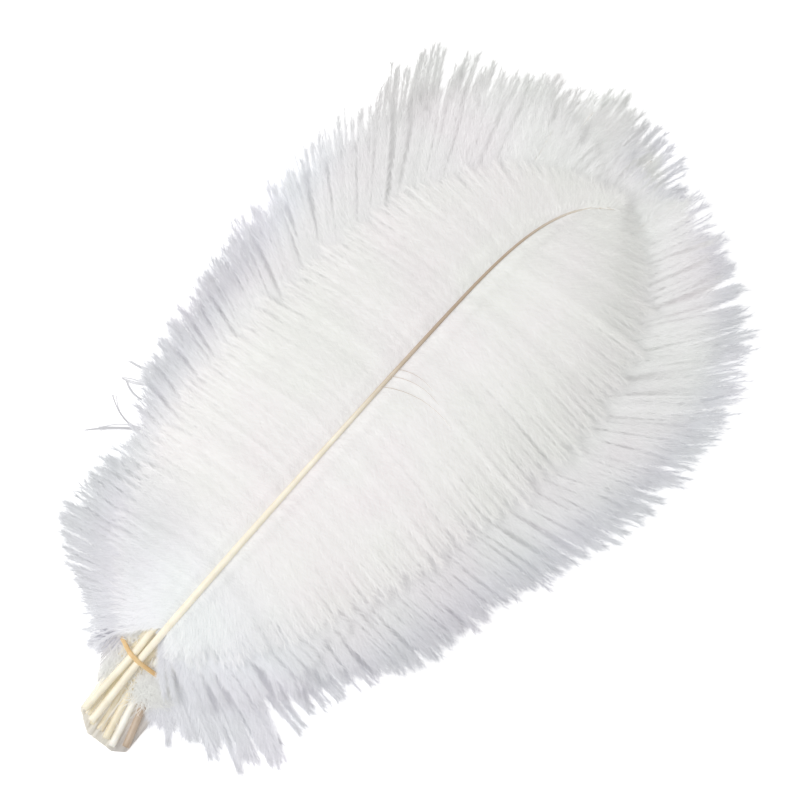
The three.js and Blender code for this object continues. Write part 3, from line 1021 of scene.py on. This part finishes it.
def object_noise(nodes, links, scale, detail, stretch=(1, 1, 1)):
    spot = nodes.new("ShaderNodeTexCoord")
    mapping = nodes.new("ShaderNodeMapping")
    mapping.inputs["Scale"].default_value = stretch
    noise = nodes.new("ShaderNodeTexNoise")
    noise.inputs["Scale"].default_value = scale
    noise.inputs["Detail"].default_value = detail
    links.new(spot.outputs["Object"], mapping.inputs["Vector"])
    links.new(mapping.outputs["Vector"], noise.inputs["Vector"])
    return noise.outputs["Fac"]


def colour_ramp(nodes, links, factor, stops):
    ramp = nodes.new("ShaderNodeValToRGB")
    while len(ramp.color_ramp.elements) < len(stops):
        ramp.color_ramp.elements.new(0.5)
    for element, (position, colour) in zip(ramp.color_ramp.elements, stops):
        element.position = position
        element.color = (*colour, 1)
    links.new(factor, ramp.inputs["Fac"])
    return ramp.outputs["Color"]


def times(nodes, links, first, second):
    product = nodes.new("ShaderNodeVectorMath")
    product.operation = "MULTIPLY"
    links.new(first, product.inputs[0])
    links.new(second, product.inputs[1])
    return product.outputs["Vector"]


def mesh_tint(nodes):
    tint = nodes.new("ShaderNodeVertexColor")
    tint.layer_name = "tint"
    return tint.outputs["Color"]


def principled(nodes, roughness, subsurface=0.0):
    skin = nodes.new("ShaderNodeBsdfPrincipled")
    skin.inputs["Roughness"].default_value = roughness
    skin.inputs["Subsurface Weight"].default_value = subsurface
    skin.inputs["Subsurface Radius"].default_value = (0.004, 0.003, 0.002)
    return skin


def bump(nodes, links, skin, height, strength, distance):
    relief = nodes.new("ShaderNodeBump")
    relief.inputs["Strength"].default_value = strength
    relief.inputs["Distance"].default_value = distance
    links.new(height, relief.inputs["Height"])
    links.new(relief.outputs["Normal"], skin.inputs["Normal"])


def finish_material(nodes, links, shader):
    out = nodes.new("ShaderNodeOutputMaterial")
    links.new(shader, out.inputs["Surface"])


def barb_material():
    """White keratin that light passes through, with faint pink and green clouds."""
    material, nodes, links = new_material("plume_barbs")
    clouds = object_noise(nodes, links, 14, 4)
    stops = [
        (0.36, (1.0, 0.987, 0.99)),
        (0.5, (1.0, 0.997, 0.994)),
        (0.66, (0.991, 0.996, 0.984)),
    ]
    clouded = times(nodes, links, mesh_tint(nodes), colour_ramp(nodes, links, clouds, stops))
    skin = principled(nodes, 0.75)
    skin.inputs["Specular IOR Level"].default_value = 0.2
    skin.inputs["Emission Strength"].default_value = BARB_GLOW
    links.new(clouded, skin.inputs["Base Color"])
    links.new(clouded, skin.inputs["Emission Color"])
    through = nodes.new("ShaderNodeBsdfTranslucent")
    links.new(clouded, through.inputs["Color"])
    mixed = nodes.new("ShaderNodeMixShader")
    mixed.inputs["Fac"].default_value = 0.38
    links.new(skin.outputs[0], mixed.inputs[1])
    links.new(through.outputs[0], mixed.inputs[2])
    finish_material(nodes, links, mixed.outputs[0])
    return material


def shaft_material():
    """Glossy horn with fine fibres along its length."""
    material, nodes, links = new_material("plume_shaft")
    blotches = object_noise(nodes, links, 90, 4)
    stops = [(0.3, (0.9, 0.88, 0.84)), (0.7, (1.0, 1.0, 1.0))]
    colour = times(nodes, links, mesh_tint(nodes), colour_ramp(nodes, links, blotches, stops))
    skin = principled(nodes, 0.42, 0.15)
    skin.inputs["Emission Strength"].default_value = HORN_GLOW
    links.new(colour, skin.inputs["Base Color"])
    links.new(colour, skin.inputs["Emission Color"])
    fibres = object_noise(nodes, links, 1, 3, (40, 900, 900))
    bump(nodes, links, skin, fibres, 0.25, 0.0004)
    finish_material(nodes, links, skin.outputs[0])
    return material


def rubber_material():
    material, nodes, links = new_material("band_rubber")
    grain = object_noise(nodes, links, 160, 5)
    stops = [(0.3, (0.70, 0.45, 0.20)), (0.7, (0.85, 0.62, 0.33))]
    skin = principled(nodes, 0.5, 0.2)
    links.new(colour_ramp(nodes, links, grain, stops), skin.inputs["Base Color"])
    bump(nodes, links, skin, grain, 0.2, 0.0003)
    finish_material(nodes, links, skin.outputs[0])
    return material


def floor_material():
    material, nodes, links = new_material("studio_floor")
    skin = principled(nodes, 0.9)
    skin.inputs["Base Color"].default_value = (0.95, 0.95, 0.95, 1)
    skin.inputs["Emission Color"].default_value = (1, 1, 1, 1)
    skin.inputs["Emission Strength"].default_value = FLOOR_GLOW
    finish_material(nodes, links, skin.outputs[0])
    return material


# ---------------- pieces


def dress(piece, node=None):
    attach(piece, "root")
    if node is not None:
        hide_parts(node)


def build_top_vane(layer, plan, over, pile, barbs, rng):
    """The top plume's vane as a piece for each side; tells where its barbules are."""
    bases = []
    for side, word in ((1, "left"), (-1, "right")):
        hairs = Hairs()
        bases.append(grow_side(hairs, TOP, side, plan, layer, over, pile, rng))
        if word == "right":
            grow_tan_barbs(hairs, layer, plan)
        dress(hairs.build(f"plume_{TOP}_{word}_vane", barbs), f"feather_{TOP}")
    return np.concatenate(bases)


def build_lower_vane(number, layer, plan, over, pile, barbs, rng):
    """A lower plume's vane in one piece; tells where its barbules are."""
    hairs = Hairs()
    bases = [grow_side(hairs, number, side, plan, layer, over, pile, rng) for side in (1, -1)]
    if number == WISP_PLUME:
        grow_wisps(hairs, layer, rng)
    if number == TUFT_PLUME:
        grow_tufts(hairs, pile, rng)
    dress(hairs.build(f"plume_{number}_vane", barbs), f"feather_{number}")
    return np.concatenate(bases)


def build_plume_shaft(number, layer, plan, horn):
    sink, edge_shade, tints = LOWER_SHAFT_SINK, 0.0, LOWER_SHAFT_TINTS
    if number == TOP:
        sink, edge_shade, tints = 0.0, TOP_SHAFT_EDGE_SHADE, TOP_SHAFT_TINTS
    axis, radius = shaft_axis(PLUMES[number - 1], plan, layer, sink)
    tints = [QUILL_TINTS[number - 1], *tints]
    shaft = build_shaft(f"plume_{number}_shaft", axis, radius, tints, edge_shade, horn)
    dress(shaft, f"feather_{number}")


def build_plumes(barbs, horn):
    """From the top plume down, so that each knows what lies over it."""
    layers = [Layer(f"feather_{k + 1}", plume["foot"]) for k, plume in enumerate(PLUMES)]
    pile = np.any([layer.full for layer in layers], axis=0).astype(float)
    pile = blurred(pile, PILE_BLUR)
    counts = np.zeros_like(pile)
    for number in range(TOP, 0, -1):
        layer = layers[number - 1]
        rng = np.random.default_rng(100 + number)
        plan = shaft_plan(PLUMES[number - 1])
        over = covered(counts)
        if number == TOP:
            bases = build_top_vane(layer, plan, over, pile, barbs, rng)
        else:
            bases = build_lower_vane(number, layer, plan, over, pile, barbs, rng)
        counts = counts + count_points(bases)
        build_plume_shaft(number, layer, plan, horn)


def build_down(barbs):
    rng = np.random.default_rng(50)
    hairs = Hairs()
    grow_down(hairs, rng)
    grow_mat(hairs, rng)
    dress(hairs.build("quill_down", barbs))


def build_band():
    """The band's own solid, rounded, and swollen back to its width."""
    source = bpy.data.objects.new("band_source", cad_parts["rubber_band"].data.copy())
    bpy.context.scene.collection.objects.link(source)
    weld = source.modifiers.new("weld", "WELD")
    weld.merge_threshold = 1e-5
    rounder = source.modifiers.new("rounder", "SUBSURF")
    rounder.levels = 2
    graph = bpy.context.evaluated_depsgraph_get()
    mesh = bpy.data.meshes.new_from_object(source.evaluated_get(graph))
    bpy.data.objects.remove(source)
    for vertex in mesh.vertices:
        vertex.co += vertex.normal * (BAND_SWELL * MM)
    mesh.polygons.foreach_set("use_smooth", np.ones(len(mesh.polygons), bool))
    mesh.materials.clear()
    dress(place("band", mesh, rubber_material()), "rubber_band")


# ---------------- studio


def build_floor():
    mesh = bpy.data.meshes.new("floor")
    signs = [(-1, -1), (1, -1), (1, 1), (-1, 1)]
    corners = [(a * FLOOR_HALF, b * FLOOR_HALF, -FLOOR_DEPTH) for a, b in signs]
    mesh.from_pydata(corners, [], [(0, 1, 2, 3)])
    place("floor", mesh, floor_material())


def build_key_light():
    """A large soft lamp at the picture's left, over the quill ends' side."""
    data = bpy.data.lights.new("key", "AREA")
    data.shape = "DISK"
    data.size = LAMP_SIZE
    data.energy = LAMP_POWER
    lamp = bpy.data.objects.new("key", data)
    roll = math.radians(VIEW_ROLL)
    left = (-math.cos(roll), math.sin(roll))
    lamp.location = (LAMP_DISTANCE * left[0], LAMP_DISTANCE * left[1], LAMP_HEIGHT)
    lamp.rotation_euler = (-Vector(lamp.location)).to_track_quat("-Z", "Y").to_euler()
    bpy.context.scene.collection.objects.link(lamp)


def build_world():
    world = bpy.data.worlds.new("studio")
    world.use_nodes = True
    background = world.node_tree.nodes["Background"]
    background.inputs["Color"].default_value = (1, 1, 1, 1)
    background.inputs["Strength"].default_value = WORLD_LIGHT
    bpy.context.scene.world = world


def build_camera():
    data = bpy.data.cameras.new("camera")
    data.sensor_width = SENSOR
    data.lens = CAMERA_LENS
    data.clip_end = 20
    camera = bpy.data.objects.new("camera", data)
    distance = FRAME_WIDTH * CAMERA_LENS / SENSOR
    x, y, _ = to_frame([*FRAME_CENTRE, 0])
    camera.location = (x, y, (distance + PILE_MIDDLE) * MM)
    camera.rotation_euler = (0, 0, -math.radians(VIEW_ROLL))
    bpy.context.scene.collection.objects.link(camera)
    bpy.context.scene.camera = camera


barb_skin = barb_material()
build_plumes(barb_skin, shaft_material())
build_down(barb_skin)
build_band()
build_floor()
build_world()
build_key_light()
build_camera()
bpy.context.scene.view_settings.view_transform = "Standard"
